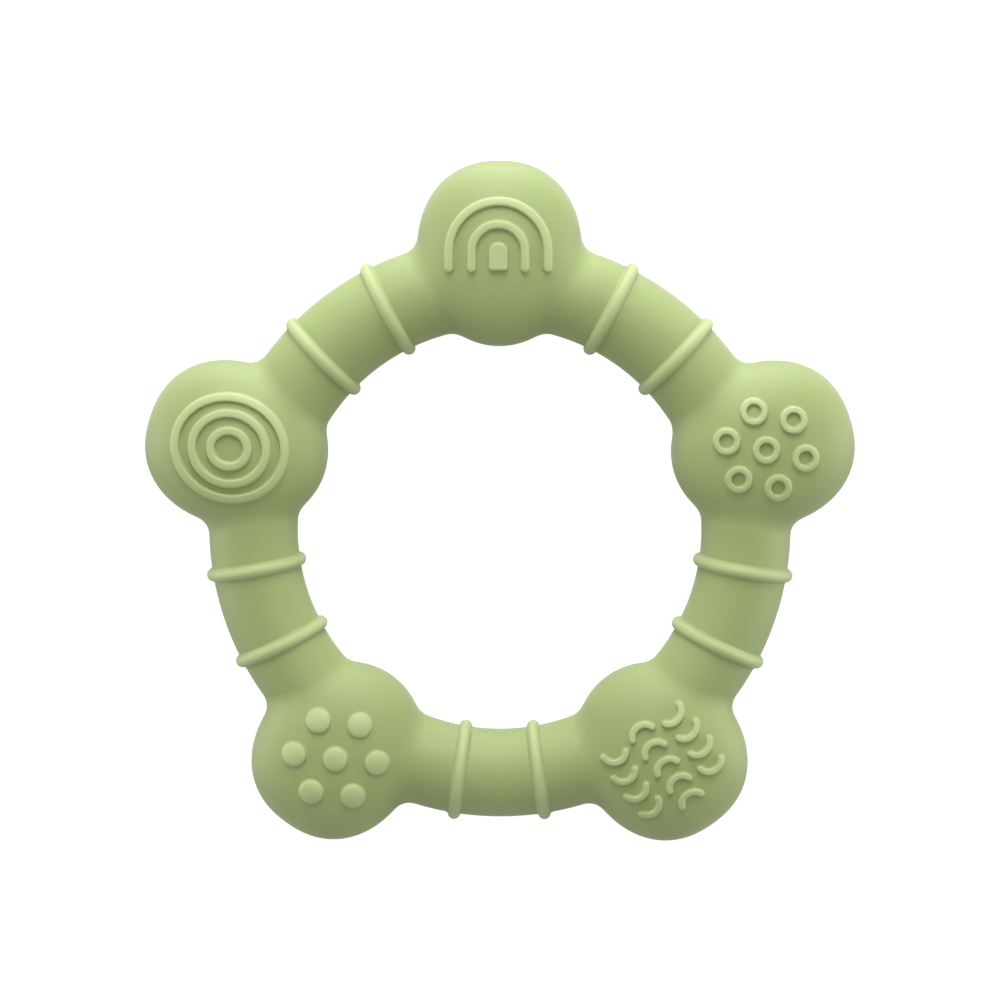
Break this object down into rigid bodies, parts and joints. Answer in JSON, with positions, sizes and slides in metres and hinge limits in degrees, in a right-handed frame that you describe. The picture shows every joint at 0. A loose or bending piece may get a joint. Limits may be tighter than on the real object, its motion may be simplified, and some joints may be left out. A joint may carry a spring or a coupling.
{
  "type": "teething ring",
  "caption": "One-piece soft silicone teething ring with pillow-shaped lobes, raised chew patterns and ribbed grips.",
  "frame": {"origin": "centre of the ring on its mid-plane", "axes": "+Z along the ring's axis, towards the front face; +Y outwards through the lobe with the rainbow; the ring lies flat on its back face"},
  "size_m": [0.102, 0.0982, 0.0194],
  "materials": {
    "silicone": "matte"
  },
  "bodies": {
    "root": {"lobe_rainbow": "silicone", "lobe_circles": "silicone", "lobe_dots": "silicone", "lobe_waves": "silicone", "lobe_rings": "silicone", "link_rainbow_circles": "silicone", "link_circles_dots": "silicone", "link_dots_waves": "silicone", "link_waves_rings": "silicone", "link_rings_rainbow": "silicone", "rib_rainbow_circles_1": "silicone", "rib_rainbow_circles_2": "silicone", "rib_circles_dots_1": "silicone", "rib_circles_dots_2": "silicone", "rib_dots_waves_1": "silicone", "rib_dots_waves_2": "silicone", "rib_waves_rings_1": "silicone", "rib_waves_rings_2": "silicone", "rib_rings_rainbow_1": "silicone", "rib_rings_rainbow_2": "silicone", "front_rainbow_outer_arch": "silicone", "front_rainbow_inner_arch": "silicone", "front_rainbow_tab": "silicone", "front_circles_outer": "silicone", "front_circles_middle": "silicone", "front_circles_inner": "silicone", "front_dots": "silicone", "front_waves": "silicone", "front_rings": "silicone", "back_rainbow_outer_arch": "silicone", "back_rainbow_inner_arch": "silicone", "back_rainbow_tab": "silicone", "back_circles_outer": "silicone", "back_circles_middle": "silicone", "back_circles_inner": "silicone", "back_dots": "silicone", "back_waves": "silicone", "back_rings": "silicone"}
  },
  "joints": []
}
